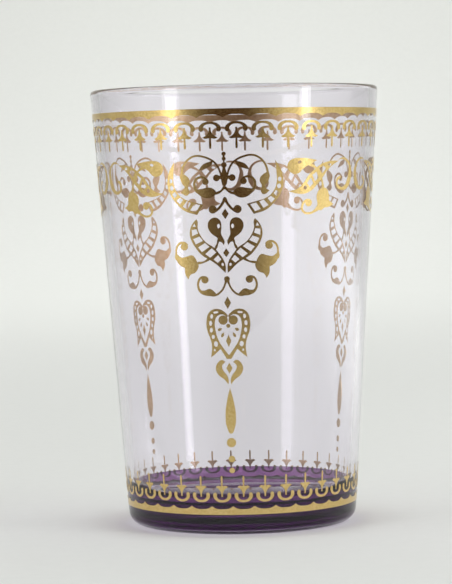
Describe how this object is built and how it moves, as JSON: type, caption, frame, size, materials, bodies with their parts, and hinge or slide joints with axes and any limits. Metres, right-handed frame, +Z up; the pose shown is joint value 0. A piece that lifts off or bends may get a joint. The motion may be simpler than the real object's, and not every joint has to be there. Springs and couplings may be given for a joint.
{
  "type": "tea glass",
  "caption": "Tapered clear tea glass with a rounded lip, an amethyst-stained foot and fired gold borders, medallions and sprays. Holds a hot drink and stands on a flat ring.",
  "frame": {"origin": "on the table, under the middle of the glass", "axes": "+Z up along the axis of the glass, the front medallion faces -Y"},
  "size_m": [0.0594, 0.0594, 0.09],
  "materials": {
    "clear_glass": "fire-polished, faintly lavender",
    "amethyst_stain": "transparent fired stain",
    "fired_gold": "bright fired gold, slightly worn"
  },
  "bodies": {
    "root": {"foot_band": "fired_gold", "foot_crescents": "fired_gold", "foot_finials": "fired_gold", "glass_body": "clear_glass", "medallion_front_bracket": "fired_gold", "medallion_front_crown": "fired_gold", "medallion_front_flowers": "fired_gold", "medallion_front_ladder_crescents": "fired_gold", "medallion_front_leaflets": "fired_gold", "medallion_front_lower_scroll": "fired_gold", "medallion_front_lozenges": "fired_gold", "medallion_front_palmette": "fired_gold", "medallion_front_pendant": "fired_gold", "medallion_left_bracket": "fired_gold", "medallion_left_crown": "fired_gold", "medallion_left_flowers": "fired_gold", "medallion_left_ladder_crescents": "fired_gold", "medallion_left_leaflets": "fired_gold", "medallion_left_lower_scroll": "fired_gold", "medallion_left_lozenges": "fired_gold", "medallion_left_palmette": "fired_gold", "medallion_left_pendant": "fired_gold", "medallion_right_bracket": "fired_gold", "medallion_right_crown": "fired_gold", "medallion_right_flowers": "fired_gold", "medallion_right_ladder_crescents": "fired_gold", "medallion_right_leaflets": "fired_gold", "medallion_right_lower_scroll": "fired_gold", "medallion_right_lozenges": "fired_gold", "medallion_right_palmette": "fired_gold", "medallion_right_pendant": "fired_gold", "rim_band": "fired_gold", "rim_crescents": "fired_gold", "rim_finials": "fired_gold", "spray_back_branch": "fired_gold", "spray_back_curl": "fired_gold", "spray_left_branch": "fired_gold", "spray_left_curl": "fired_gold", "spray_right_branch": "fired_gold", "spray_right_curl": "fired_gold", "stain_disc": "amethyst_stain", "stain_sleeve": "amethyst_stain"}
  },
  "joints": []
}
